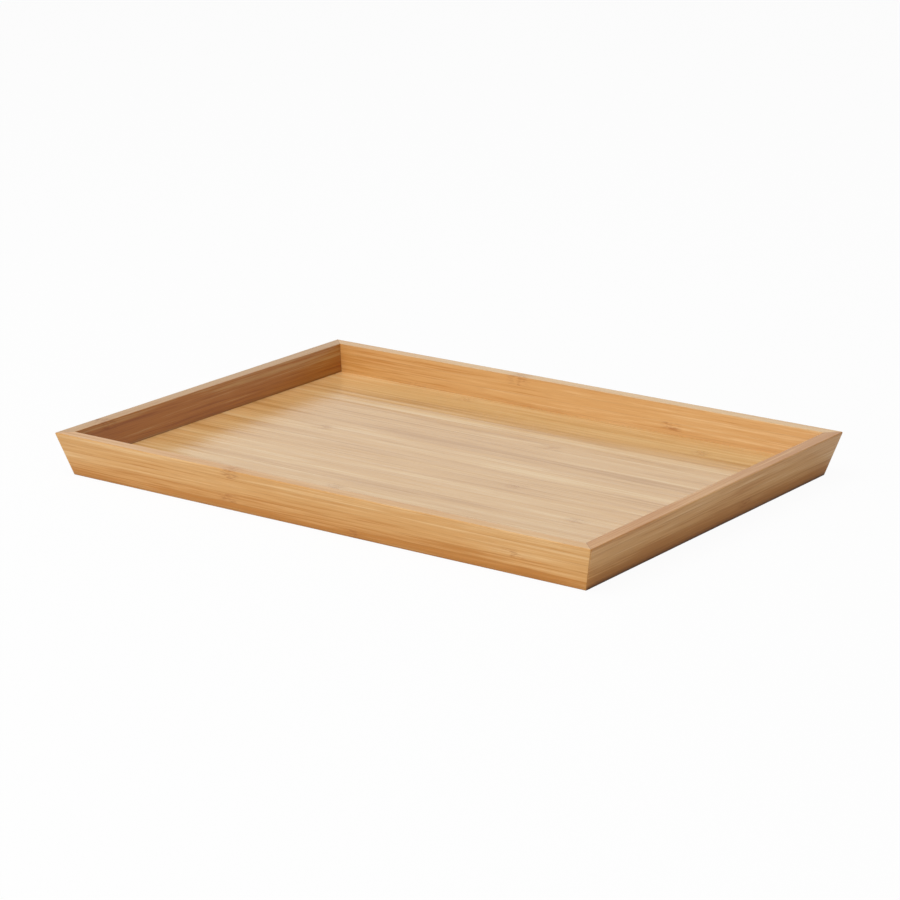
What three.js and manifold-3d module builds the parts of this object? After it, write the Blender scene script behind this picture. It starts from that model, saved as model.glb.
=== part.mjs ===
// Bamboo serving tray: four mitred rails that lean outwards, ploughed to hold a base panel.
// Rails and base are laminated bamboo, so each glued strip is a piece of its own.
// Millimetres. X runs along the tray, Y across it and Z up from the surface it stands on.
import * as THREE from 'three';
import { mergeVertices } from 'three/addons/utils/BufferGeometryUtils.js';
import Module from 'manifold-3d';

const wasm = await Module();
wasm.setup();

// Overall sizes, to the rim's outer edges before they are eased
const TRAY_LENGTH = 330;
const TRAY_WIDTH = 240;
const TRAY_HEIGHT = 23;

// Rails: thickness is square to the faces, lean is from upright
const RAIL_LEAN = THREE.MathUtils.degToRad(16);
const RAIL_THICKNESS = 7.4;
const RAIL_STRIP_COUNT = 5;
const EDGE_RADIUS = 0.5;
const CORNER_RADIUS = 0.8;

// Base panel, and the groove that it sits in
const BASE_LIFT = 4;
const BASE_THICKNESS = 4;
const BASE_STRIP_WIDTH = 7.5;
const GROOVE_DEPTH = 3.5;
const GROOVE_HEADROOM = 0.1;
const GROOVE_END_ROOM = 0.3;

// Loose tongues hidden in the mitres, a little inwards of the middle of the rails
const SPLINE_WIDTH = 6;
const SPLINE_THICKNESS = 1.6;
const SPLINE_FIT = 0.15;
const SPLINE_COVER_ABOVE = 3;
const SPLINE_COVER_BELOW = 1.5;
const SPLINE_INWARDS = 0.75;

// Facets of the round stretches
const EDGE_FACETS = 4;
const CORNER_FACETS = 3;

// Lacquered rails and base, bare tongues, and how far the strips differ in lightness
const RAIL_FINISH = { color: 0xd6a56c, roughness: 0.45, metalness: 0 };
const BASE_FINISH = { color: 0xd9b98c, roughness: 0.4, metalness: 0 };
const SPLINE_FINISH = { color: 0xcda775, roughness: 0.7, metalness: 0 };
const STRIP_CONTRAST = 0.04;

// Corners closer together than this are one corner
const WELD_DISTANCE = 1e-4;

// Sizes that follow from those above
const LEAN_PER_MM = Math.tan(RAIL_LEAN);
const RIM_WIDTH = RAIL_THICKNESS / Math.cos(RAIL_LEAN);
const BASE_TOP = BASE_LIFT + BASE_THICKNESS;
const GROOVE_TOP = BASE_TOP + GROOVE_HEADROOM;
const GROOVE_INSET = innerInset(BASE_TOP) - GROOVE_DEPTH;
const PANEL_INSET = GROOVE_INSET + GROOVE_END_ROOM;
const SPLINE_SETBACK = RIM_WIDTH / 2 + SPLINE_INWARDS;

// How far the outer and inner faces stand in from the rim's outer edge at a height
function outerInset(z) {
  return (TRAY_HEIGHT - z) * LEAN_PER_MM;
}

function innerInset(z) {
  return outerInset(z) + RIM_WIDTH;
}

// A named piece of bamboo. Neighbouring strips come from different canes and differ in tone.
function bambooPiece(name, geometry, finish, index) {
  const material = new THREE.MeshStandardMaterial(finish);
  material.color.offsetHSL(0, 0, STRIP_CONTRAST * Math.sin(index * Math.E));
  const piece = new THREE.Mesh(geometry, material);
  piece.name = name;
  return piece;
}

// Welds a geometry's corners and drops the faces that have closed up to nothing
function welded(geometry) {
  const bare = geometry.clone();
  bare.deleteAttribute('normal');
  bare.deleteAttribute('uv');
  const merged = mergeVertices(bare, WELD_DISTANCE);
  const kept = [];
  for (let i = 0; i < merged.index.count; i += 3) {
    const face = [0, 1, 2].map((k) => merged.index.getX(i + k));
    if (new Set(face).size === 3) kept.push(...face);
  }
  merged.setIndex(kept);
  return merged;
}

function toSolid(geometry) {
  const mesh = welded(geometry);
  return new wasm.Manifold(new wasm.Mesh({
    numProp: 3,
    vertProperties: new Float32Array(mesh.attributes.position.array),
    triVerts: new Uint32Array(mesh.index.array),
  }));
}

function toGeometry(solid) {
  const mesh = solid.getMesh();
  const geometry = new THREE.BufferGeometry();
  geometry.setAttribute('position', new THREE.BufferAttribute(mesh.vertProperties, 3));
  geometry.setIndex(new THREE.BufferAttribute(mesh.triVerts, 1));
  geometry.computeVertexNormals();
  return geometry;
}

// Closed outline through corners that each have a point and, where eased, a radius
function easedOutline(corners) {
  const shape = new THREE.Shape();
  corners.forEach(({ point, radius }, i) => {
    const backwards = corners.at(i - 1).point.clone().sub(point).normalize();
    const onwards = corners.at((i + 1) % corners.length).point.clone().sub(point).normalize();
    const halfAngle = Math.acos(backwards.dot(onwards)) / 2;
    const reach = radius / Math.tan(halfAngle);
    const start = point.clone().addScaledVector(backwards, reach);
    const end = point.clone().addScaledVector(onwards, reach);
    if (i === 0) shape.moveTo(start.x, start.y);
    else shape.lineTo(start.x, start.y);
    if (radius === 0) return;
    const inwards = backwards.clone().add(onwards).normalize();
    const centre = point.clone().addScaledVector(inwards, radius / Math.sin(halfAngle));
    const startAngle = start.sub(centre).angle();
    const endAngle = end.sub(centre).angle();
    shape.absarc(centre.x, centre.y, radius, startAngle, endAngle, true);
  });
  shape.closePath();
  return shape;
}

// Section of one rail strip, counted from the lowest, as inset against height.
// The lowest and highest strips carry the rail's eased edges, and the groove cuts those it crosses.
function stripSection(index) {
  const isLowest = index === 0;
  const isHighest = index === RAIL_STRIP_COUNT - 1;
  const low = (TRAY_HEIGHT * index) / RAIL_STRIP_COUNT;
  const high = isHighest ? TRAY_HEIGHT : (TRAY_HEIGHT * (index + 1)) / RAIL_STRIP_COUNT;
  const corner = (inset, z, radius = 0) => ({ point: new THREE.Vector2(inset, z), radius });
  const lowRadius = isLowest ? EDGE_RADIUS : 0;
  const highRadius = isHighest ? EDGE_RADIUS : 0;
  const outside = [
    corner(outerInset(low), low, lowRadius),
    corner(outerInset(high), high, highRadius),
  ];
  const innerHigh = corner(innerInset(high), high, highRadius);
  const innerLow = corner(innerInset(low), low, lowRadius);
  const cutTop = Math.min(high, GROOVE_TOP);
  const cutFloor = Math.max(low, BASE_LIFT);
  if (cutFloor >= cutTop) return easedOutline([...outside, innerHigh, innerLow]);
  const above = cutTop < high ? [innerHigh, corner(innerInset(cutTop), cutTop)] : [];
  const below = cutFloor > low ? [corner(innerInset(cutFloor), cutFloor), innerLow] : [];
  const groove = [corner(GROOVE_INSET, cutTop), corner(GROOVE_INSET, cutFloor)];
  return easedOutline([...outside, ...above, ...groove, ...below]);
}

// Place of a section's point on a rail that runs along X, with its outer face towards -Y.
// The turn goes from 0, square to the rail, to 45 degrees, on the mitre, round the eased corner.
function placeOnRail(inset, z, halfLength, halfSpan, end, turn) {
  const lean = outerInset(z);
  const arc = CORNER_RADIUS - (inset - lean);
  if (arc <= 0) return [end * (halfLength - inset), -(halfSpan - inset), z];
  const centre = lean + CORNER_RADIUS;
  const x = halfLength - centre + arc * Math.sin(turn);
  const y = halfSpan - centre + arc * Math.cos(turn);
  return [end * x, -y, z];
}

// One rail strip: its section swept from mitre to mitre
function mitredStrip(section, halfLength, halfSpan) {
  const steps = 2 * CORNER_FACETS + 1;
  const options = { depth: steps, steps, bevelEnabled: false, curveSegments: EDGE_FACETS };
  const geometry = new THREE.ExtrudeGeometry(section, options);
  const position = geometry.attributes.position;
  for (let i = 0; i < position.count; i += 1) {
    const step = Math.round(position.getZ(i));
    const end = step <= CORNER_FACETS ? -1 : 1;
    const fromMitre = end < 0 ? step : steps - step;
    const turn = (Math.PI / 4) * (1 - fromMitre / CORNER_FACETS);
    const inset = position.getX(i);
    const z = position.getY(i);
    position.setXYZ(i, ...placeOnRail(inset, z, halfLength, halfSpan, end, turn));
  }
  return geometry;
}

// A tongue across the mitre of one corner, along the line where the leaning rails meet
function splineGeometry(halfLength, halfSpan, sideX, sideY, fit) {
  const low = GROOVE_TOP + SPLINE_COVER_BELOW;
  const high = TRAY_HEIGHT - SPLINE_COVER_ABOVE;
  const along = new THREE.Vector3(sideX * LEAN_PER_MM, sideY * LEAN_PER_MM, 1);
  const length = (high - low) * along.length();
  along.normalize();
  const across = new THREE.Vector3(-sideY, sideX, 0).normalize();
  const through = along.clone().cross(across);
  const middle = (low + high) / 2;
  const inset = outerInset(middle) + SPLINE_SETBACK;
  const geometry = new THREE.BoxGeometry(
    SPLINE_WIDTH + 2 * fit,
    SPLINE_THICKNESS + 2 * fit,
    length + 2 * fit,
  );
  const frame = new THREE.Matrix4().makeBasis(across, through, along);
  frame.setPosition(sideX * (halfLength - inset), sideY * (halfSpan - inset), middle);
  return geometry.applyMatrix4(frame);
}

// A rail of stacked strips, with a slot for the tongue at each end, turned to its side of the tray
function makeRail(name, halfLength, halfSpan, quarterTurns) {
  const rail = new THREE.Group();
  const slots = [-1, 1].map((end) => splineGeometry(halfLength, halfSpan, end, -1, SPLINE_FIT));
  for (let k = 0; k < RAIL_STRIP_COUNT; k += 1) {
    let strip = toSolid(mitredStrip(stripSection(k), halfLength, halfSpan));
    slots.forEach((slot) => {
      strip = strip.subtract(toSolid(slot));
    });
    rail.add(bambooPiece(`${name}_strip_${k + 1}`, toGeometry(strip), RAIL_FINISH, k));
  }
  rail.rotation.z = quarterTurns * (Math.PI / 2);
  return rail;
}

// The base: full-length strips glued edge to edge and laid out from the middle.
// The outer two are ripped alike to fit the grooves, and stay wider than half a strip.
function makeBase() {
  const base = new THREE.Group();
  const length = TRAY_LENGTH - 2 * PANEL_INSET;
  const halfWidth = TRAY_WIDTH / 2 - PANEL_INSET;
  const count = Math.ceil((2 * halfWidth) / BASE_STRIP_WIDTH);
  for (let k = 0; k < count; k += 1) {
    const front = Math.max(-halfWidth, (k - count / 2) * BASE_STRIP_WIDTH);
    const back = Math.min(halfWidth, (k + 1 - count / 2) * BASE_STRIP_WIDTH);
    const name = `base_strip_${String(k + 1).padStart(2, '0')}`;
    const geometry = new THREE.BoxGeometry(length, back - front, BASE_THICKNESS);
    const strip = bambooPiece(name, geometry, BASE_FINISH, k);
    strip.position.set(0, (front + back) / 2, BASE_LIFT + BASE_THICKNESS / 2);
    base.add(strip);
  }
  return base;
}

function makeSplines() {
  const splines = new THREE.Group();
  const corners = {
    front_left: [-1, -1],
    front_right: [1, -1],
    back_right: [1, 1],
    back_left: [-1, 1],
  };
  Object.entries(corners).forEach(([corner, [sideX, sideY]], k) => {
    const geometry = splineGeometry(TRAY_LENGTH / 2, TRAY_WIDTH / 2, sideX, sideY, 0);
    splines.add(bambooPiece(`corner_spline_${corner}`, geometry, SPLINE_FINISH, k));
  });
  return splines;
}

const tray = new THREE.Group();
tray.add(makeRail('front_rail', TRAY_LENGTH / 2, TRAY_WIDTH / 2, 0));
tray.add(makeRail('right_rail', TRAY_WIDTH / 2, TRAY_LENGTH / 2, 1));
tray.add(makeRail('back_rail', TRAY_LENGTH / 2, TRAY_WIDTH / 2, 2));
tray.add(makeRail('left_rail', TRAY_WIDTH / 2, TRAY_LENGTH / 2, 3));
tray.add(makeBase());
tray.add(makeSplines());

export default tray;
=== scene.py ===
# Bamboo serving tray: laminated rails that lean outwards, mitred round a flat base panel of narrow strips.
import math
import random

import bmesh
import bpy
from mathutils import Matrix, Vector


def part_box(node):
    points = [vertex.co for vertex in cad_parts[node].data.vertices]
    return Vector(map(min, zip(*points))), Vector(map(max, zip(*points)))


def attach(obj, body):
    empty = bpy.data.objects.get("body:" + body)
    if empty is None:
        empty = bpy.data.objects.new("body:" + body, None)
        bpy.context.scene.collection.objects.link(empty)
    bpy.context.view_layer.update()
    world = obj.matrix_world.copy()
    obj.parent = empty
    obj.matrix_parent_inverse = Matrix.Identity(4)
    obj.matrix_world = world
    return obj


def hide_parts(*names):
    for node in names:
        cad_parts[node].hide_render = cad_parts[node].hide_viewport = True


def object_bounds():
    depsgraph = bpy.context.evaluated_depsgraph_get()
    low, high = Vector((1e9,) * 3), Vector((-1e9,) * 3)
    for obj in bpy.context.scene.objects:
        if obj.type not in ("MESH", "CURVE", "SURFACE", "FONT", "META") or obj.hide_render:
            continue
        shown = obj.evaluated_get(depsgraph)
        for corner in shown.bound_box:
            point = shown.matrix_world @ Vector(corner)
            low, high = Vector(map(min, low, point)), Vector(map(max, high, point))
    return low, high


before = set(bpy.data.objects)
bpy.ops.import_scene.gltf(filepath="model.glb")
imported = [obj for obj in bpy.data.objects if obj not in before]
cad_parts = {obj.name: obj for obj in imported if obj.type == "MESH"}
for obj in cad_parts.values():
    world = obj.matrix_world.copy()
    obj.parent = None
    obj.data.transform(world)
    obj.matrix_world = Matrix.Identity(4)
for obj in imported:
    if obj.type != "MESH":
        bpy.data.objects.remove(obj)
cad_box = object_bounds()
scene = bpy.context.scene
scene.view_settings.view_transform = "Standard"


# View of the tray
# A long lens looks down from over the front right corner, level enough to show the long front rail
# and the short right rail as faces and the well as a shallow band between them.
IMAGE_PIXELS = 900
SENSOR_WIDTH = 36.0
VIEW_AZIMUTH = math.radians(35.4597)
VIEW_ELEVATION = math.radians(16.4298)
VIEW_ROLL = math.radians(0.0862)
VIEW_DISTANCE = 1.58794
VIEW_SLIDE_RIGHT = 0.00037
VIEW_SLIDE_UP = 0.01281
FOCAL_PIXELS = 3059.9

view_back = Vector((
    math.sin(VIEW_AZIMUTH) * math.cos(VIEW_ELEVATION),
    -math.cos(VIEW_AZIMUTH) * math.cos(VIEW_ELEVATION),
    math.sin(VIEW_ELEVATION),
))
view_turn = Matrix.Rotation(VIEW_ROLL, 3, view_back)
view_right = view_turn @ Vector((math.cos(VIEW_AZIMUTH), math.sin(VIEW_AZIMUTH), 0))
view_up = view_back.cross(view_right)
lens = bpy.data.cameras.new("camera")
lens.sensor_width = SENSOR_WIDTH
lens.lens = FOCAL_PIXELS / IMAGE_PIXELS * SENSOR_WIDTH
camera = bpy.data.objects.new("camera", lens)
camera.matrix_world = Matrix((view_right, view_up, view_back)).transposed().to_4x4()
camera.location = view_back * VIEW_DISTANCE + view_right * VIEW_SLIDE_RIGHT + view_up * VIEW_SLIDE_UP
scene.collection.objects.link(camera)
scene.camera = camera


# Table and studio light
# The tray stands on a wide pale table under soft light: one large panel high at the front left and one
# low in front, so the faces towards the right fall into shade. The room beyond is plain white.
WHITE = (1, 1, 1, 1)
TABLE_WIDTH = 8.0
TABLE_GAP = 0.0001
TABLE_COLOUR = (0.85, 0.85, 0.85, 1)
TABLE_WHITENESS_SEEN = 0.95
TABLE_WHITENESS_MIRRORED = 0.05
ROOM_LIGHT = 0.37
HIGH_LIGHT = {"place": (-0.35, -0.7, 1.5), "width": 1.4, "height": 1.4, "power": 17.0}
LOW_LIGHT = {"place": (0.2, -1.7, 0.3), "width": 1.6, "height": 0.5, "power": 8.0}


def add_node(tree, kind, inputs=None, **settings):
    """Adds a node, applies its settings, and sets each input or links it from another node's socket."""
    node = tree.nodes.new(kind)
    for setting, value in settings.items():
        setattr(node, setting, value)
    for socket, value in (inputs or {}).items():
        if isinstance(value, bpy.types.NodeSocket):
            tree.links.new(value, node.inputs[socket])
        else:
            node.inputs[socket].default_value = value
    return node


def calculate(tree, operation, *values):
    """The result of a Math node on numbers and sockets."""
    return add_node(tree, "ShaderNodeMath", dict(enumerate(values)), operation=operation).outputs[0]


def sight(tree):
    """Masks of the rays that show the background: straight ones, and mirrored or bent ones."""
    path = add_node(tree, "ShaderNodeLightPath").outputs
    mirrored = calculate(tree, "MAXIMUM", path["Is Glossy Ray"], path["Is Transmission Ray"])
    return path["Is Camera Ray"], mirrored


def white_room():
    """A room that looks white and gives a weaker, even light."""
    world = bpy.data.worlds.new("room")
    world.use_nodes = True
    tree = world.node_tree
    tree.nodes.clear()
    shown = calculate(tree, "MAXIMUM", *sight(tree))
    shown = calculate(tree, "MAXIMUM", shown, ROOM_LIGHT)
    light = add_node(tree, "ShaderNodeBackground", {"Color": WHITE, "Strength": shown})
    output = add_node(tree, "ShaderNodeOutputWorld")
    tree.links.new(light.outputs[0], output.inputs["Surface"])
    scene.world = world


def table_finish():
    """Matt and pale, shown nearly white, with a faint shadow left, and nothing at all from below."""
    material = bpy.data.materials.new("pale_table")
    material.use_nodes = True
    tree = material.node_tree
    tree.nodes.clear()
    straight, mirrored = sight(tree)
    matt = add_node(tree, "ShaderNodeBsdfDiffuse", {"Color": TABLE_COLOUR})
    white = add_node(tree, "ShaderNodeEmission", {"Color": WHITE, "Strength": 1.0})
    share = calculate(tree, "MULTIPLY", mirrored, TABLE_WHITENESS_MIRRORED)
    share = calculate(tree, "MULTIPLY_ADD", straight, TABLE_WHITENESS_SEEN, share)
    top = add_node(tree, "ShaderNodeMixShader", {0: share, 1: matt.outputs[0], 2: white.outputs[0]})
    from_below = add_node(tree, "ShaderNodeNewGeometry").outputs["Backfacing"]
    nothing = add_node(tree, "ShaderNodeBsdfTransparent")
    sides = {0: from_below, 1: top.outputs[0], 2: nothing.outputs[0]}
    surface = add_node(tree, "ShaderNodeMixShader", sides)
    output = add_node(tree, "ShaderNodeOutputMaterial")
    tree.links.new(surface.outputs[0], output.inputs["Surface"])
    return material


def add_table():
    """A flat sheet just under the tray, so that the two never share a plane."""
    half = TABLE_WIDTH / 2
    corners = [(-half, -half), (half, -half), (half, half), (-half, half)]
    mesh = bpy.data.meshes.new("table")
    mesh.from_pydata([(x, y, -TABLE_GAP) for x, y in corners], [], [(0, 1, 2, 3)])
    mesh.materials.append(table_finish())
    table = bpy.data.objects.new("table", mesh)
    scene.collection.objects.link(table)


def add_soft_light(name, place, width, height, power):
    """A light panel aimed at the middle of the tray."""
    panel = bpy.data.lights.new(name, "AREA")
    panel.shape = "RECTANGLE"
    panel.size = width
    panel.size_y = height
    panel.energy = power
    light = bpy.data.objects.new(name, panel)
    light.location = place
    light.rotation_euler = Vector(place).to_track_quat("Z", "Y").to_euler()
    scene.collection.objects.link(light)


white_room()
add_table()
add_soft_light("high_light", **HIGH_LIGHT)
add_soft_light("low_light", **LOW_LIGHT)


# Base panel
# Thirty full-length bamboo strips, glued edge to edge, sanded flush and given a semi-gloss clear
# lacquer. The panel's edges sit in a groove round the rails, a little above the table.
MM_PER_M = 1000
BASE_PALETTE = {"Pale": (235, 199, 141), "Middle": (221, 175, 110), "Deep": (197, 147, 79)}
BASE_FIGURE = 0.86
# The lacquer follows the bands of the cane, so its sheen is uneven
BASE_ROUGHNESS = 0.195
BASE_WAVINESS = 22.0
BASE_GRAIN = 0.25
BASE_LACQUER_IOR = 1.66
# The tones at which cane has each colour of its palette, and at which it is as brown as it gets
PALE_TONE = 0.0
MIDDLE_TONE = 0.5
DEEP_TONE = 1.0
DARKEST_TONE = 1.7
# A base strip's tone is drawn by chance about the middle, apart from some that are listed
BASE_SEED = 7
BASE_TONE_SPREAD = 0.14
BASE_TONES = {
    8: 0.65, 9: 0.43, 10: 0.43, 12: 0.57, 15: 0.66, 16: 0.32, 19: 0.77, 22: 0.4,
    24: 0.34, 25: 0.55, 26: 0.74, 27: 0.42, 28: 0.36, 29: 0.32, 30: 0.36,
}
# Some strips have a knuckle of the cane at this place along the tray, and the rest have it far off
BASE_KNUCKLES = {6: -0.02, 9: 0.11, 13: 0.055, 17: -0.09, 22: 0.03, 27: 0.1, 29: -0.06}
NO_KNUCKLE = 1.0
# Painted light: the strips are a little brighter and warmer towards their left ends, lifting the shade that
# the left rail casts on the base beside it
PAINTED_LIGHT_LENGTH = 0.06
PAINTED_LIGHT_TINT = (1.12, 1.09, 1.1)
# The cane's figures: swings a millimetre along, across and through the fibres, and finer layers of each
CANE_FIGURES = {
    "wander": ((0.007, 0.08, 0.08), 1),
    "broad": ((0.008, 0.05, 0.05), 1),
    "bands": ((0.007, 0.22, 0.22), 1),
    "streaks": ((0.011, 0.7, 0.7), 2),
    "fibres": ((0.03, 2.2, 2.2), 2),
    "hairs": ((0.07, 5.0, 5.0), 1),
    "ragged": ((0.1, 0.8, 0.8), 2),
    "blotches": ((0.18, 1.1, 1.1), 2),
    "glue": ((0.03, 0.2, 0.2), 1),
}
FIGURE_COARSENESS = 0.6
FIGURE_MIDDLE = 0.5
TONE_WEIGHTS = {"broad": 0.9, "bands": 0.9, "streaks": 1.6, "fibres": 1.2}
ROUGHNESS_WEIGHTS = {"streaks": 0.06, "fibres": 0.05}
HEIGHT_WEIGHTS = {"streaks": 0.6, "fibres": 0.4}
# In millimetres: how far apart in the cane strips are cut, and how far fibres and a knuckle's edge stray
CANE_STRETCH = (900, 500, 500)
WANDER_WIDTH = 2.5
RAGGED_WIDTH = 6.0
# Dark marks: hairs, streaks, knuckles, and tones past Deep, which on the right rail's lowest strip are
# painted shade.
# Where marked, the surface is rougher and lies a little lower. Limits are the swings of a figure between
# which a mark comes in, and a mark fades out over its reach in millimetres.
HAIR_LIMITS = (0.08, 0.22)
HAIR_DARKNESS = 0.25
PAST_DEEP_DARKNESS = 0.45
BLOTCH_LIMITS = (-0.08, 0.16)
KNUCKLE_REACH = (0.5, 9.0)
KNUCKLE_DARKNESS = 0.65
RING_REACH = (0.2, 1.6)
RING_STRENGTH = 0.35
BROWNING = (0.68, 0.52, 0.4)
DARK_ROUGHNESS = 0.15
DARK_HEIGHT = -0.2
GRAIN_HEIGHT = 0.00004
# Glue lines are hairlines that come and go along a joint
GLUE_COLOUR = (140, 88, 44)
GLUE_DARKNESS = 0.3
GLUE_REACH = (0.00004, 0.00016)
GLUE_LIMITS = (-0.2, 0.2)
FAINTEST_GLUE = 0.25
MAP_MARGIN = 0.01
MAP_EDGE_BAND = 0.02


def from_srgb(red, green, blue):
    """A colour from its screen values of 0 to 255."""
    def linear(value):
        share = value / 255
        return share / 12.92 if share <= 0.04045 else ((share + 0.055) / 1.055) ** 2.4
    return (linear(red), linear(green), linear(blue), 1)


def scaled(tree, vector, by):
    """A vector multiplied part by part."""
    inputs = {0: vector, 1: by}
    return add_node(tree, "ShaderNodeVectorMath", inputs, operation="MULTIPLY").outputs[0]


def added(tree, vector, other):
    """Two vectors added up."""
    inputs = {0: vector, 1: other}
    return add_node(tree, "ShaderNodeVectorMath", inputs, operation="ADD").outputs[0]


def ramp(tree, value, low, high, start=0.0, end=1.0):
    """A smooth step: start up to low, end from high on."""
    inputs = {"Value": value, "From Min": low, "From Max": high, "To Min": start, "To Max": end}
    return add_node(tree, "ShaderNodeMapRange", inputs, interpolation_type="SMOOTHSTEP").outputs[0]


def blended(tree, share, colour, other):
    """One colour turning into another."""
    # The node's sockets for colours come after those for numbers and vectors
    inputs = {0: share, 6: colour, 7: other}
    return add_node(tree, "ShaderNodeMix", inputs, data_type="RGBA").outputs[2]


def figure(tree, place, name):
    """One of the cane's figures at a place in millimetres, as a value that swings about 0."""
    per_mm, layers = CANE_FIGURES[name]
    inputs = {
        "Vector": scaled(tree, place, per_mm),
        "Scale": 1.0,
        "Detail": layers,
        "Roughness": FIGURE_COARSENESS,
    }
    value = add_node(tree, "ShaderNodeTexNoise", inputs).outputs["Fac"]
    return calculate(tree, "SUBTRACT", value, FIGURE_MIDDLE)


def summed(tree, start, swings, weights):
    """A starting value plus each weighted swing."""
    total = start
    for name, weight in weights.items():
        total = calculate(tree, "MULTIPLY_ADD", swings[name], weight, total)
    return total


def new_group(name, inputs, outputs):
    """An empty node group with named sockets, and its two ends."""
    group = bpy.data.node_groups.new(name, "ShaderNodeTree")
    for socket, kind in inputs.items():
        group.interface.new_socket(socket, in_out="INPUT", socket_type=kind)
    for socket, kind in outputs.items():
        group.interface.new_socket(socket, in_out="OUTPUT", socket_type=kind)
    start = group.nodes.new("NodeGroupInput")
    end = group.nodes.new("NodeGroupOutput")
    return group, start.outputs, end.inputs


def bamboo_cane_group():
    """Split bamboo: long streaks, fine fibres, dark hairs and the smudge of a knuckle on some strips."""
    tree, given, result = new_group(
        "bamboo_cane",
        {
            "Fibre Way": "NodeSocketVector",
            "Strip": "NodeSocketFloat",
            "Tone": "NodeSocketFloat",
            "Figure": "NodeSocketFloat",
            "Knuckle At": "NodeSocketFloat",
            "Pale": "NodeSocketColor",
            "Middle": "NodeSocketColor",
            "Deep": "NodeSocketColor",
            "Roughness": "NodeSocketFloat",
            "Waviness": "NodeSocketFloat",
        },
        {"Colour": "NodeSocketColor", "Roughness": "NodeSocketFloat", "Height": "NodeSocketFloat"},
    )
    # Each strip is cut from another stretch of another cane
    drawn = {"W": given["Strip"]}
    chance = add_node(tree, "ShaderNodeTexWhiteNoise", drawn, noise_dimensions="1D").outputs
    elsewhere = scaled(tree, chance["Color"], CANE_STRETCH)
    here = scaled(tree, given["Fibre Way"], (MM_PER_M,) * 3)
    place = added(tree, here, elsewhere)
    # Fibres wander a little from side to side along the cane
    wander = calculate(tree, "MULTIPLY", figure(tree, place, "wander"), WANDER_WIDTH)
    sideways = add_node(tree, "ShaderNodeCombineXYZ", {"Y": wander, "Z": wander}).outputs[0]
    place = added(tree, place, sideways)
    swings = {name: figure(tree, place, name) for name in TONE_WEIGHTS}
    hairs = ramp(tree, figure(tree, place, "hairs"), *HAIR_LIMITS)
    # A knuckle is a ragged brown smudge, with a faint ring, where the fibres cross
    along = add_node(tree, "ShaderNodeSeparateXYZ", {0: here}).outputs[0]
    knuckle_at = calculate(tree, "MULTIPLY", given["Knuckle At"], MM_PER_M)
    off_knuckle = calculate(tree, "SUBTRACT", along, knuckle_at)
    ragged = figure(tree, place, "ragged")
    off_knuckle = calculate(tree, "MULTIPLY_ADD", ragged, RAGGED_WIDTH, off_knuckle)
    off_knuckle = calculate(tree, "ABSOLUTE", off_knuckle)
    ring = ramp(tree, off_knuckle, *RING_REACH, RING_STRENGTH, 0.0)
    zone = ramp(tree, off_knuckle, *KNUCKLE_REACH, 1.0, 0.0)
    blotches = ramp(tree, figure(tree, place, "blotches"), *BLOTCH_LIMITS)
    smudge = calculate(tree, "MAXIMUM", calculate(tree, "MULTIPLY", zone, blotches), ring)
    # The tone runs through the palette, and the marks brown it
    swing = summed(tree, 0.0, swings, TONE_WEIGHTS)
    tone = calculate(tree, "MULTIPLY_ADD", swing, given["Figure"], given["Tone"])
    lighter = blended(tree, ramp(tree, tone, PALE_TONE, MIDDLE_TONE), given["Pale"], given["Middle"])
    colour = blended(tree, ramp(tree, tone, MIDDLE_TONE, DEEP_TONE), lighter, given["Deep"])
    dark = calculate(tree, "MULTIPLY", hairs, HAIR_DARKNESS)
    # Tones past Deep brown further: the darkest streaks, and painted shade on the right rail's lowest strip
    past_deep = ramp(tree, tone, DEEP_TONE, DARKEST_TONE, 0.0, PAST_DEEP_DARKNESS)
    dark = calculate(tree, "MAXIMUM", dark, past_deep)
    dark = calculate(tree, "MAXIMUM", dark, calculate(tree, "MULTIPLY", smudge, KNUCKLE_DARKNESS))
    brown = scaled(tree, given["Deep"], BROWNING)
    colour = blended(tree, dark, colour, brown)
    tree.links.new(colour, result["Colour"])
    rough = summed(tree, given["Roughness"], swings, ROUGHNESS_WEIGHTS)
    rough = calculate(tree, "MULTIPLY_ADD", dark, DARK_ROUGHNESS, rough)
    tree.links.new(rough, result["Roughness"])
    height = summed(tree, FIGURE_MIDDLE, swings, {"bands": given["Waviness"], **HEIGHT_WEIGHTS})
    height = calculate(tree, "MULTIPLY_ADD", dark, DARK_HEIGHT, height)
    tree.links.new(height, result["Height"])
    return tree


def glue_line_group():
    """The hairline of glue between two strips, stronger here and fainter there."""
    tree, given, result = new_group(
        "glue_line",
        {"Across": "NodeSocketFloat", "Half Strip": "NodeSocketFloat", "Fibre Way": "NodeSocketVector"},
        {"Line": "NodeSocketFloat"},
    )
    off_line = calculate(tree, "PINGPONG", given["Across"], given["Half Strip"])
    line = ramp(tree, off_line, *GLUE_REACH, 1.0, 0.0)
    place = scaled(tree, given["Fibre Way"], (MM_PER_M,) * 3)
    strength = ramp(tree, figure(tree, place, "glue"), *GLUE_LIMITS, FAINTEST_GLUE, 1.0)
    tree.links.new(calculate(tree, "MULTIPLY", line, strength), result["Line"])
    return tree


def attribute(tree, name, socket):
    """A value that the mesh carries from face to face or point to point."""
    return add_node(tree, "ShaderNodeAttribute", attribute_name=name).outputs[socket]


def cane(tree, palette, inputs):
    """The cane's colour, roughness and height, from its palette and its other inputs."""
    colours = {socket: from_srgb(*colour) for socket, colour in palette.items()}
    return add_node(tree, "ShaderNodeGroup", {**inputs, **colours}, node_tree=bamboo_cane).outputs


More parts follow.
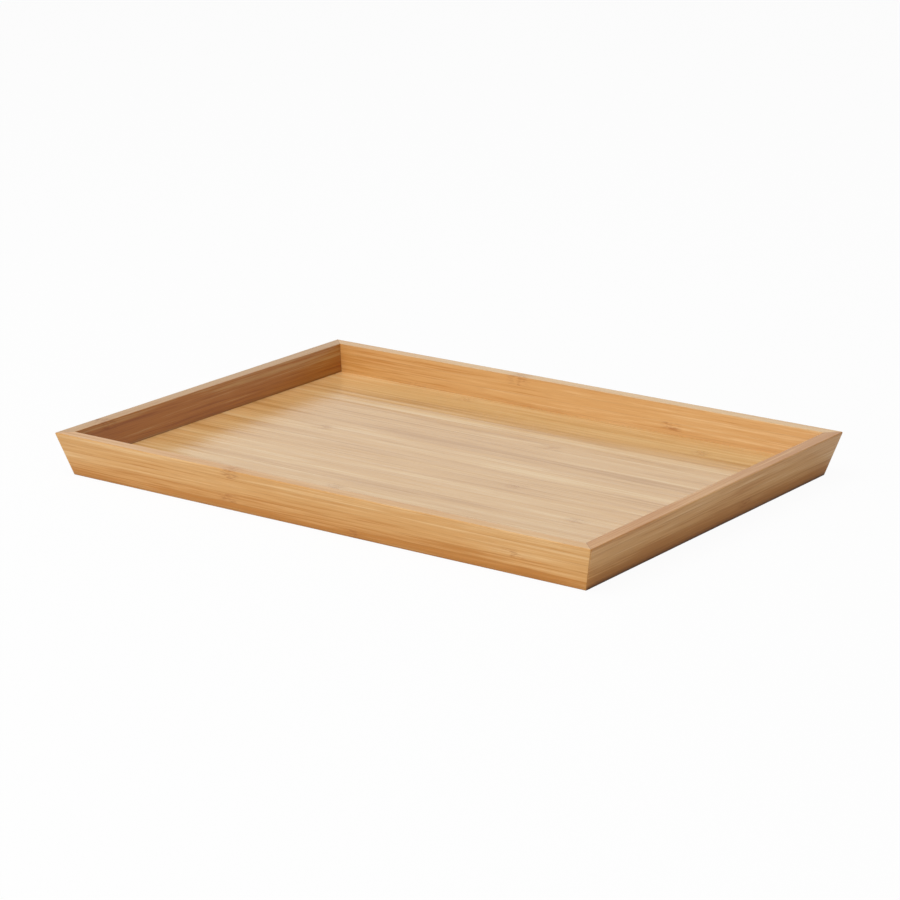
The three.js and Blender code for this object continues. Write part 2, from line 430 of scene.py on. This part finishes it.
def glued_up_bamboo(tree, palette, figure_strength, roughness, waviness, across, strip_width):
    """Cane by strips, with the glue lines drawn over its colour: the colour, roughness and height."""
    fibre_way = attribute(tree, "fibre_way", "Vector")
    strips = cane(tree, palette, {
        "Fibre Way": fibre_way,
        "Strip": attribute(tree, "strip_number", "Fac"),
        "Tone": attribute(tree, "strip_tone", "Fac"),
        "Knuckle At": attribute(tree, "knuckle_at", "Fac"),
        "Figure": figure_strength,
        "Roughness": roughness,
        "Waviness": waviness,
    })
    inputs = {"Across": across, "Half Strip": strip_width / 2, "Fibre Way": fibre_way}
    line = add_node(tree, "ShaderNodeGroup", inputs, node_tree=glue_line).outputs["Line"]
    glue = calculate(tree, "MULTIPLY", line, GLUE_DARKNESS)
    colour = blended(tree, glue, strips["Colour"], from_srgb(*GLUE_COLOUR))
    return colour, strips["Roughness"], strips["Height"]


def new_material(name):
    """A material with a Principled shader, its tree and the shader's inputs."""
    material = bpy.data.materials.new(name)
    material.use_nodes = True
    tree = material.node_tree
    shader = tree.nodes["Principled BSDF"]
    return material, tree, shader.inputs


def dress(tree, shader, colour, rough, height, grain):
    """Colours a shader and raises its fibres by hundredths of a millimetre, and wavy bands by more."""
    tree.links.new(colour, shader["Base Color"])
    tree.links.new(rough, shader["Roughness"])
    inputs = {"Height": height, "Strength": grain, "Distance": GRAIN_HEIGHT}
    bump = add_node(tree, "ShaderNodeBump", inputs)
    tree.links.new(bump.outputs[0], shader["Normal"])


def base_finish(strip_width):
    """Semi-gloss lacquer over the sanded strips, with painted light towards their left ends."""
    material, tree, shader = new_material("lacquered_base")
    fibre_way = attribute(tree, "fibre_way", "Vector")
    parts = add_node(tree, "ShaderNodeSeparateXYZ", {0: fibre_way}).outputs
    look = (BASE_PALETTE, BASE_FIGURE, BASE_ROUGHNESS, BASE_WAVINESS)
    colour, rough, height = glued_up_bamboo(tree, *look, parts["Y"], strip_width)
    # Painted light at the left ends of the strips, beside the left rail
    painted_light = ramp(tree, parts["X"], base_low.x, base_low.x + PAINTED_LIGHT_LENGTH, 1.0, 0.0)
    colour = blended(tree, painted_light, colour, scaled(tree, colour, PAINTED_LIGHT_TINT))
    dress(tree, shader, colour, rough, height, BASE_GRAIN)
    shader["IOR"].default_value = BASE_LACQUER_IOR
    return material


def strip_tones(count, seed, chosen):
    """How dark each strip is: by chance, apart from those listed."""
    chance = random.Random(seed)
    tones = []
    for number in range(1, count + 1):
        drawn = MIDDLE_TONE + BASE_TONE_SPREAD * (chance.random() - 0.5)
        tones.append(chosen.get(number, drawn))
    return tones


def base_panel_mesh(strip_boxes, tones):
    """The strips as one skin: top, underside and edges, with each strip's faces numbered."""
    low = strip_boxes[0][0]
    high = strip_boxes[-1][1]
    joints = [box[0].y for box in strip_boxes] + [high.y]
    bm = bmesh.new()
    fibre_way = bm.verts.layers.float_vector.new("fibre_way")
    strip_number = bm.faces.layers.float.new("strip_number")
    strip_tone = bm.faces.layers.float.new("strip_tone")
    knuckle_at = bm.faces.layers.float.new("knuckle_at")
    layout = bm.loops.layers.uv.new("OFBake")
    section = [(low.x, low.z), (high.x, low.z), (high.x, high.z), (low.x, high.z)]
    rings = [[bm.verts.new((x, y, z)) for x, z in section] for y in joints]
    faces = []
    for number, (ring, following) in enumerate(zip(rings, rings[1:])):
        for side in range(len(section)):
            onwards = (side + 1) % len(section)
            corners = (ring[side], ring[onwards], following[onwards], following[side])
            faces.append((bm.faces.new(corners), number))
    faces.append((bm.faces.new(rings[0]), 0))
    faces.append((bm.faces.new(rings[-1]), len(tones) - 1))
    bm.normal_update()
    bmesh.ops.recalc_face_normals(bm, faces=bm.faces)
    size = high - low
    for face, number in faces:
        face[strip_number] = number + 1
        face[strip_tone] = tones[number]
        face[knuckle_at] = BASE_KNUCKLES.get(number + 1, NO_KNUCKLE)
        for loop in face.loops:
            share = [(loop.vert.co[axis] - low[axis]) / size[axis] for axis in range(3)]
            loop[layout].uv = base_layout(face.normal, share)
    for vert in bm.verts:
        vert[fibre_way] = vert.co
    mesh = bpy.data.meshes.new("base_panel")
    bm.to_mesh(mesh)
    bm.free()
    return mesh


def base_layout(normal, share):
    """Flat layout for baking: top and underside side by side, the hidden edges in bands above them."""
    half = 0.5 - 2 * MAP_MARGIN
    faces_band = 1 - 3 * MAP_MARGIN - 2 * (MAP_EDGE_BAND + MAP_MARGIN)
    x, y, z = share
    if abs(normal.z) > 0.5:
        start = MAP_MARGIN if normal.z > 0 else 0.5 + MAP_MARGIN
        return start + x * half, MAP_MARGIN + y * faces_band
    ends = abs(normal.x) > 0.5
    positive = normal.x + normal.y > 0
    start = 0.5 + MAP_MARGIN if positive else MAP_MARGIN
    band = faces_band + 2 * MAP_MARGIN + (MAP_EDGE_BAND + MAP_MARGIN) * ends
    return start + (y if ends else x) * half, band + z * MAP_EDGE_BAND


def add_piece(name, mesh, material, nodes):
    """A finished piece that stands for its CAD nodes."""
    mesh.materials.append(material)
    piece = bpy.data.objects.new(name, mesh)
    scene.collection.objects.link(piece)
    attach(piece, "root")
    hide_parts(*nodes)


bamboo_cane = bamboo_cane_group()
glue_line = glue_line_group()
base_nodes = sorted(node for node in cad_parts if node.startswith("base_strip_"))
base_boxes = [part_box(node) for node in base_nodes]
middle_strip = base_boxes[len(base_boxes) // 2]
base_strip_width = middle_strip[1].y - middle_strip[0].y
base_low, base_high = base_boxes[0][0], base_boxes[-1][1]
base_tones = strip_tones(len(base_nodes), BASE_SEED, BASE_TONES)
base_mesh = base_panel_mesh(base_boxes, base_tones)
add_piece("base_panel", base_mesh, base_finish(base_strip_width), base_nodes)


# Rails
# Each rail is five bamboo strips stacked and glued, planed to a leaning section with eased edges and
# ploughed for the base. Its ends are mitred and slotted for a loose tongue, then satin lacquered.
RAIL_LEAN = math.tan(math.radians(16))
RAIL_THICKNESS = 0.0074
RAIL_STRIP_COUNT = 5
RAIL_STATIONS = 40
EDGE_RADIUS = 0.0005
EDGE_STEPS = 8
EDGE_SUPPORT = 0.0004
CORNER_RADIUS = 0.0008
CORNER_STEPS = 6
SHARP_ANGLE = math.radians(30)
# Hand sanding rounds the edges a little more in some places than in others
EDGE_UNEVENNESS = 0.00015
SANDING_WAVES = (11, 23)
# The groove closes tight on the base, apart from an open seam along the left rail
GROOVE_DEPTH = 0.0035
GROOVE_HEADROOM = 0.0001
GLUED_SEAM = 0.00001
OPEN_SEAMS = {"left_rail": GROOVE_HEADROOM}
TONGUE_WIDTH = 0.006
TONGUE_THICKNESS = 0.0016
TONGUE_FIT = 0.00015
TONGUE_COVER_ABOVE = 0.003
TONGUE_COVER_BELOW = 0.0015
TONGUE_INWARDS = 0.00075
RAIL_ROUGHNESS = 0.3
RAIL_WAVINESS = 2.5
RAIL_GRAIN = 0.3
RAIL_LACQUER_IOR = 1.43
RAIL_PALETTE = {"Pale": (231, 190, 134), "Middle": (215, 163, 98), "Deep": (193, 131, 59)}
# The left rail is glued up from darker cane
DEEP_RAIL = "left_rail"
DEEP_RAIL_PALETTE = {"Pale": (191, 146, 88), "Middle": (173, 110, 44), "Deep": (149, 86, 31)}
# Each rail's tones from its lowest strip to its highest, and the tone of the rim's top, with the change
# of each by the metre along the rail. Then the strength of its figure and of the painted shade along its
# foot and in its open seam.
RAIL_LOOKS = {
    "front_rail": {
        "tones": (0.87, 0.69, 0.46, 0.43, 0.34), "fade": 0.0, "rim": 0.43, "rim_fade": -0.6,
        "figure": 0.75, "shade_share": 0.2,
    },
    # The right rail's lowest strip goes past Deep: painted shade at the foot of the shaded right face
    "right_rail": {
        "tones": (1.36, 0.93, 0.62, 0.52, 0.51), "fade": 0.0, "rim": 0.74, "rim_fade": 0.4,
        "figure": 0.92, "shade_share": 0.9,
    },
    "back_rail": {
        "tones": (0.5, 0.57, 0.53, 0.57, 0.5), "fade": 1.2, "rim": 0.05, "rim_fade": 1.0,
        "figure": 0.7, "shade_share": 0.5,
    },
    "left_rail": {
        "tones": (0.6, 0.5, 0.55, 0.5, 0.45), "fade": 1.0, "rim": 0.02, "rim_fade": 0.0,
        "figure": 0.9, "shade_share": 0.33,
    },
}
RIM_DEPTH = 0.0001
# A strip keeps its own tone for this share of its height to each side of its middle
TONE_HOLD = 0.15
RAIL_KNUCKLES = {
    "front_rail": (0.025, -0.053, 0.12, NO_KNUCKLE, -0.049),
    "right_rail": (NO_KNUCKLE, 0.028, NO_KNUCKLE, NO_KNUCKLE, NO_KNUCKLE),
    "back_rail": (NO_KNUCKLE, 0.1, -0.067, NO_KNUCKLE, 0.033),
    "left_rail": (0.04, NO_KNUCKLE, NO_KNUCKLE, NO_KNUCKLE, 0.088),
}
FIRST_RAIL_STRIP = 100
# Painted shade: the eased edges are darkened to damp the highlight that the lamps give them, less so where
# the curve runs out
EDGE_SHADE_TINT = (0.84, 0.74, 0.6)
EDGE_SHADE_SHARE = 0.4
EDGE_SHADE_AT_ENDS = 0.4
# Painted shade: a dark contact shadow on the outer edge of the foot, creeping up the face above it, and a
# shadow line in the open seam
SHADE_COLOUR = (56, 32, 14)
UNDERSIDE_SHADE = 0.25
RISEN_SHADE = 0.75
CREPT_SHADE = 0.3
SEAM_SHADE_HEIGHT = 0.0018
MITRE_DARKNESS = 0.45
MITRE_REACH = (0.00008, 0.0003)
HIDDEN_BAND = 0.05
CELL_MARGIN = 0.1
PLACES_PER_METRE = 1e7
NO_SIZE = 1e-9

rail_height = cad_box[1].z
rim_width = RAIL_THICKNESS * math.hypot(1, RAIL_LEAN)
# The eased edge starts this share of its radius in from the sharp edge that the rim had before
ease_setback = RAIL_LEAN + math.hypot(1, RAIL_LEAN) - 1
tray_half_length = cad_box[1].x + ease_setback * EDGE_RADIUS
tray_half_width = cad_box[1].y + ease_setback * EDGE_RADIUS
rail_strip_height = rail_height / RAIL_STRIP_COUNT


def outer_inset(height):
    """How far a rail's outer face stands in from the rim's outer edge at a height."""
    return (rail_height - height) * RAIL_LEAN


def inner_inset(height):
    """The same for its inner face."""
    return outer_inset(height) + rim_width


def tone_at(rail, along, height):
    """A rail's tone at a place: each strip's own about its middle, turning into the next one's."""
    look = RAIL_LOOKS[rail]
    if height > rail_height - RIM_DEPTH:
        return look["rim"] + look["rim_fade"] * along
    tones = look["tones"]
    level = height / rail_strip_height - 0.5
    strip = min(max(math.floor(level), 0), RAIL_STRIP_COUNT - 2)
    share = (level - strip - TONE_HOLD) / (1 - 2 * TONE_HOLD)
    share = min(max(share, 0), 1)
    return tones[strip] + (tones[strip + 1] - tones[strip]) * share + look["fade"] * along


def eased(corner, before, after, radius):
    """Points round an eased corner of a section, and one on each flat beside it, with their painted edge
    shade.
    """
    to_before = (before - corner).normalized()
    to_after = (after - corner).normalized()
    half_angle = math.acos(to_before.dot(to_after)) / 2
    reach = radius / math.tan(half_angle)
    centre = corner + (to_before + to_after).normalized() * (radius / math.sin(half_angle))
    start = corner + to_before * reach - centre
    turning = math.copysign(math.pi - 2 * half_angle, to_before.cross(to_after))
    points = [(corner + to_before * (reach + EDGE_SUPPORT), 0.0)]
    for step in range(EDGE_STEPS + 1):
        turned = Matrix.Rotation(-turning * step / EDGE_STEPS, 2) @ start
        edge_shade = EDGE_SHADE_AT_ENDS if step in (0, EDGE_STEPS) else 1.0
        points.append((centre + turned, edge_shade))
    points.append((corner + to_after * (reach + EDGE_SUPPORT), 0.0))
    return points


def rail_section(radius, seam):
    """Closed section of a rail as insets and heights, up the outside and down the inside.

    Each point has two marks: how much painted shade darkens an eased edge, and how much painted contact
    shade it gets. The seam is the gap over the base.
    """
    def on_outside(height):
        return Vector((outer_inset(height), height))

    def on_inside(height):
        return Vector((inner_inset(height), height))

    groove_top = base_high.z + seam
    groove_inset = inner_inset(base_high.z) - GROOVE_DEPTH
    # Heights of the glue lines, and of where the tone starts and stops turning, without the foot itself
    tone_shares = (0, 0.5 - TONE_HOLD, 0.5 + TONE_HOLD)
    levels = [rail_strip_height * (k + share) for k in range(RAIL_STRIP_COUNT) for share in tone_shares]
    levels.remove(0)
    wall_levels = [level for level in reversed(levels) if level > groove_top + SEAM_SHADE_HEIGHT]
    back_levels = [level for level in reversed(levels) if base_low.z < level < groove_top]
    low_out, high_out = on_outside(0), on_outside(rail_height)
    low_in, high_in = on_inside(0), on_inside(rail_height)
    foot = eased(low_out, low_in, high_out, radius)
    # The painted shade is weaker on the underside than round the curve of the foot
    foot_shade = [UNDERSIDE_SHADE] + [1.0] * (len(foot) - 2) + [RISEN_SHADE]
    points = [(*marked, shade_share) for marked, shade_share in zip(foot, foot_shade)]
    points.append((on_outside(levels[0]), 0.0, CREPT_SHADE))
    points += [(on_outside(level), 0.0, 0.0) for level in levels[1:]]
    points += [(*marked, 0.0) for marked in eased(high_out, low_out, high_in, radius)]
    points += [(*marked, 0.0) for marked in eased(high_in, high_out, low_in, radius)]
    points += [(on_inside(level), 0.0, 0.0) for level in wall_levels]
    points.append((on_inside(groove_top + SEAM_SHADE_HEIGHT), 0.0, 0.0))
    # The mouth of an open seam gets a painted shadow line
    mouth_shade = 1.0 if seam > GLUED_SEAM else 0.0
    points.append((on_inside(groove_top), 0.0, mouth_shade))
    points.append((Vector((groove_inset, groove_top)), 0.0, mouth_shade))
    points += [(Vector((groove_inset, level)), 0.0, 0.0) for level in back_levels]
    points.append((Vector((groove_inset, base_low.z)), 0.0, 0.0))
    points.append((on_inside(base_low.z), 0.0, 0.0))
    points += [(*marked, UNDERSIDE_SHADE) for marked in eased(low_in, high_in, low_out, radius)]
    return points


def place_on_rail(inset, height, half_length, half_span, end, turn):
    """Place on a rail along X with its outer face to -Y; the turn goes round the eased outer corner."""
    lean = outer_inset(height)
    arc = CORNER_RADIUS - (inset - lean)
    if arc <= 0:
        return Vector((end * (half_length - inset), inset - half_span, height))
    centre = lean + CORNER_RADIUS
    along = half_length - centre + arc * math.sin(turn)
    across = half_span - centre + arc * math.cos(turn)
    return Vector((end * along, -across, height))


def rail_rings(half_length, half_span, phase, seam):
    """Sections of a rail from mitre to mitre, each a list of places, and the marks that all share."""
    plain = rail_section(EDGE_RADIUS, seam)
    marks = [marked[1:] for marked in plain]

    def ring(section, end, turn):
        return [place_on_rail(*marked[0], half_length, half_span, end, turn) for marked in section]

    # From the mitre to where the outer corner's curve ends
    corner_turns = [math.pi / 4 * (1 - step / CORNER_STEPS) for step in range(CORNER_STEPS + 1)]
    rings = [ring(plain, -1, turn) for turn in corner_turns]
    first_wave, second_wave = SANDING_WAVES
    for station in range(1, RAIL_STATIONS):
        share = station / RAIL_STATIONS
        waves = math.sin(first_wave * share + phase) * math.sin(second_wave * share + 2 * phase)
        swell = math.sin(math.pi * share) * (1 + waves) / 2
        section = rail_section(EDGE_RADIUS + EDGE_UNEVENNESS * swell, seam)
        starts, ends = ring(section, -1, 0), ring(section, 1, 0)
        rings.append([start.lerp(finish, share) for start, finish in zip(starts, ends)])
    rings += [ring(plain, 1, turn) for turn in reversed(corner_turns)]
    return rings, marks


def girth_shares(ring):
    """How far round a section each of its points lies, from 0 to 1, with the first one again at the end."""
    girth = [0.0]
    for k in range(len(ring)):
        girth.append(girth[-1] + (ring[(k + 1) % len(ring)] - ring[k]).length)
    return [part / girth[-1] for part in girth]


def rail_mesh(name, half_length, half_span, quarter_turns):
    """One rail as a closed skin from mitre to mitre, with a slot for the tongue in each mitre."""
    seam = OPEN_SEAMS.get(name, GLUED_SEAM)
    rings, marks = rail_rings(half_length, half_span, quarter_turns, seam)
    bm = bmesh.new()
    fibre_way = bm.verts.layers.float_vector.new("fibre_way")
    eased_edge = bm.verts.layers.float.new("eased_edge")
    painted_shade = bm.verts.layers.float.new("painted_shade")
    from_mitre = bm.verts.layers.float.new("from_mitre")
    strip_tone = bm.verts.layers.float.new("strip_tone")
    strip_number = bm.faces.layers.float.new("strip_number")
    knuckle_at = bm.faces.layers.float.new("knuckle_at")
    layout = bm.loops.layers.uv.new("OFBake")
    placed = {}

    def vertex(place, edge_shade=0.0, shade_share=0.0):
        key = tuple(round(part * PLACES_PER_METRE) for part in place)
        if key not in placed:
            vert = bm.verts.new(place)
            vert[fibre_way] = place
            vert[eased_edge] = edge_shade
            vert[painted_shade] = shade_share
            vert[strip_tone] = tone_at(name, place.x, place.z)
            vert[from_mitre] = ((half_length - abs(place.x)) - (half_span + place.y)) / math.sqrt(2)
            placed[key] = vert
        return placed[key]

    def number_face(face, height):
        strip = min(int(height / rail_strip_height), RAIL_STRIP_COUNT - 1)
        face[strip_number] = FIRST_RAIL_STRIP + quarter_turns * RAIL_STRIP_COUNT + strip
        face[knuckle_at] = RAIL_KNUCKLES[name][strip]

    verts = [[vertex(place, *mark) for place, mark in zip(ring, marks)] for ring in rings]
    shares = girth_shares(rings[len(rings) // 2])
    for ring, following in zip(verts, verts[1:]):
        for k in range(len(marks)):
            onwards = (k + 1) % len(marks)
            around = [(ring[k], k), (following[k], k), (following[onwards], k + 1), (ring[onwards], k + 1)]
            # Round the outer corner the rings meet in some points, which leaves a triangle or nothing
            corners = [pair for i, pair in enumerate(around) if pair[0] is not around[i - 1][0]]
            if len(corners) < 3:
                continue
            face = bm.faces.new([vert for vert, step in corners])
            number_face(face, sum(vert.co.z for vert, step in corners) / len(corners))
            for loop, (vert, step) in zip(face.loops, corners):
                along = vert.co.x / (2 * half_length) + 0.5
                loop[layout].uv = (
                    MAP_MARGIN + along * (1 - 2 * MAP_MARGIN),
                    MAP_MARGIN + shares[step] * (1 - HIDDEN_BAND - 3 * MAP_MARGIN),
                )
    hidden = []
    for end, ring in ((-1, verts[0]), (1, verts[-1])):
        hidden += close_mitre(bm, vertex, ring, half_length, half_span, end)
    cell = (1 - 2 * MAP_MARGIN) / len(hidden)
    for k, face in enumerate(hidden):
        number_face(face, face.calc_center_median().z)
        lay_in_cell(face, layout, MAP_MARGIN + cell * k, cell)
    bmesh.ops.recalc_face_normals(bm, faces=bm.faces)
    for face in bm.faces:
        face.smooth = True
    bmesh.ops.rotate(bm, verts=bm.verts, matrix=Matrix.Rotation(quarter_turns * math.pi / 2, 3, "Z"))
    mesh = bpy.data.meshes.new(name)
    bm.to_mesh(mesh)
    bm.free()
    mesh.set_sharp_from_angle(angle=SHARP_ANGLE)
    return mesh


def close_mitre(bm, vertex, ring, half_length, half_span, end):
    """Closes a mitre round the slot for its tongue, and gives the new faces."""
    slot_low = base_high.z + GROOVE_HEADROOM + TONGUE_COVER_BELOW
    slot_high = rail_height - TONGUE_COVER_ABOVE
    rise = Vector((end * RAIL_LEAN, -RAIL_LEAN, 1))
    half_rise = (slot_high - slot_low) / 2 * rise.length + TONGUE_FIT
    rise.normalize()
    into_rail = Vector((-end, -1, 0)).normalized()
    through = rise.cross(into_rail)
    middle_height = (slot_low + slot_high) / 2
    inset = outer_inset(middle_height) + rim_width / 2 + TONGUE_INWARDS
    middle = Vector((end * (half_length - inset), inset - half_span, middle_height))
    half_through = TONGUE_THICKNESS / 2 + TONGUE_FIT
    depth = into_rail * (TONGUE_WIDTH / 2 + TONGUE_FIT)
    mouth = []
    for up, out in ((-1, -1), (-1, 1), (1, 1), (1, -1)):
        mouth.append(vertex(middle + rise * half_rise * up + through * half_through * out))
    bottom = [vertex(vert.co + depth) for vert in mouth]
    faces = [bm.faces.new(bottom)]
    rims = []
    for k in range(len(mouth)):
        onwards = (k + 1) % len(mouth)
        faces.append(bm.faces.new((mouth[k], mouth[onwards], bottom[onwards], bottom[k])))
        rims.append((mouth[k], mouth[onwards]))
    rims += [(ring[k - 1], ring[k]) for k in range(len(ring))]
    edges = [bm.edges.get(pair) for pair in rims]
    filled = bmesh.ops.triangle_fill(bm, use_beauty=True, edges=edges, normal=into_rail)
    return faces + [part for part in filled["geom"] if isinstance(part, bmesh.types.BMFace)]


def lay_in_cell(face, layout, start, cell):
    """Lays a hidden face out in its own narrow cell at the top of the layout."""
    face.normal_update()
    turn = face.normal.rotation_difference(Vector((0, 0, 1)))
    flat = [turn @ loop.vert.co for loop in face.loops]
    low = Vector((min(p.x for p in flat), min(p.y for p in flat)))
    size = Vector((max(p.x for p in flat), max(p.y for p in flat))) - low
    for loop, place in zip(face.loops, flat):
        across = (place.x - low.x) / max(size.x, NO_SIZE)
        up = (place.y - low.y) / max(size.y, NO_SIZE)
        loop[layout].uv = (
            start + cell * (CELL_MARGIN + (1 - 2 * CELL_MARGIN) * across),
            1 - MAP_MARGIN - HIDDEN_BAND * (1 - up),
        )


def rail_finish(rail):
    """Satin lacquer over the stacked strips, with painted shade on the eased edges and along the foot."""
    material, tree, shader = new_material(f"lacquered_{rail}")
    palette = DEEP_RAIL_PALETTE if rail == DEEP_RAIL else RAIL_PALETTE
    fibre_way = attribute(tree, "fibre_way", "Vector")
    height = add_node(tree, "ShaderNodeSeparateXYZ", {0: fibre_way}).outputs["Z"]
    # The rim and the underside are no glue lines
    inside = calculate(tree, "MAXIMUM", height, rail_strip_height / 2)
    inside = calculate(tree, "MINIMUM", inside, rail_height - rail_strip_height / 2)
    look = (palette, RAIL_LOOKS[rail]["figure"], RAIL_ROUGHNESS, RAIL_WAVINESS)
    colour, rough, grain = glued_up_bamboo(tree, *look, inside, rail_strip_height)
    # Painted shade on the eased edges, to damp their highlight
    edge_shade = calculate(tree, "MULTIPLY", attribute(tree, "eased_edge", "Fac"), EDGE_SHADE_SHARE)
    colour = blended(tree, edge_shade, colour, scaled(tree, colour, EDGE_SHADE_TINT))
    # Painted contact shade along the foot and a painted shadow line in the open seam
    shade_share = attribute(tree, "painted_shade", "Fac")
    shade_share = calculate(tree, "MULTIPLY", shade_share, RAIL_LOOKS[rail]["shade_share"])
    colour = blended(tree, shade_share, colour, from_srgb(*SHADE_COLOUR))
    mitre = ramp(tree, attribute(tree, "from_mitre", "Fac"), *MITRE_REACH, MITRE_DARKNESS, 0.0)
    colour = blended(tree, mitre, colour, from_srgb(*GLUE_COLOUR))
    dress(tree, shader, colour, rough, grain, RAIL_GRAIN)
    shader["IOR"].default_value = RAIL_LACQUER_IOR
    return material


for turns, rail in enumerate(RAIL_LOOKS):
    spans = (tray_half_length, tray_half_width) if turns % 2 == 0 else (tray_half_width, tray_half_length)
    rail_nodes = [f"{rail}_strip_{k}" for k in range(1, RAIL_STRIP_COUNT + 1)]
    add_piece(rail, rail_mesh(rail, *spans, turns), rail_finish(rail), rail_nodes)


# Corner tongues
# A flat slip of bare bamboo is glued across each mitre, let into a slot in both rails, so nothing of
# it shows once the corner is closed. It is planed and left without lacquer.
TONGUE_PALETTE = {"Pale": (226, 192, 142), "Middle": (212, 172, 120), "Deep": (176, 128, 80)}
TONGUE_FIGURE = 1.0
TONGUE_ROUGHNESS = 0.65
TONGUE_GRAIN = 0.4


def tongue_finish():
    """Bare cane with its fibres upright."""
    material, tree, shader = new_material("bare_bamboo")
    place = add_node(tree, "ShaderNodeTexCoord").outputs["Object"]
    upright = add_node(tree, "ShaderNodeMapping", {"Vector": place, "Rotation": (0, math.pi / 2, 0)})
    slip = cane(tree, TONGUE_PALETTE, {
        "Fibre Way": upright.outputs[0],
        "Tone": MIDDLE_TONE,
        "Knuckle At": NO_KNUCKLE,
        "Figure": TONGUE_FIGURE,
        "Roughness": TONGUE_ROUGHNESS,
        "Waviness": RAIL_WAVINESS,
    })
    dress(tree, shader, slip["Colour"], slip["Roughness"], slip["Height"], TONGUE_GRAIN)
    return material


bare_bamboo = tongue_finish()
for node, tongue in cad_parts.items():
    if node.startswith("corner_spline_"):
        tongue.data.materials.clear()
        tongue.data.materials.append(bare_bamboo)
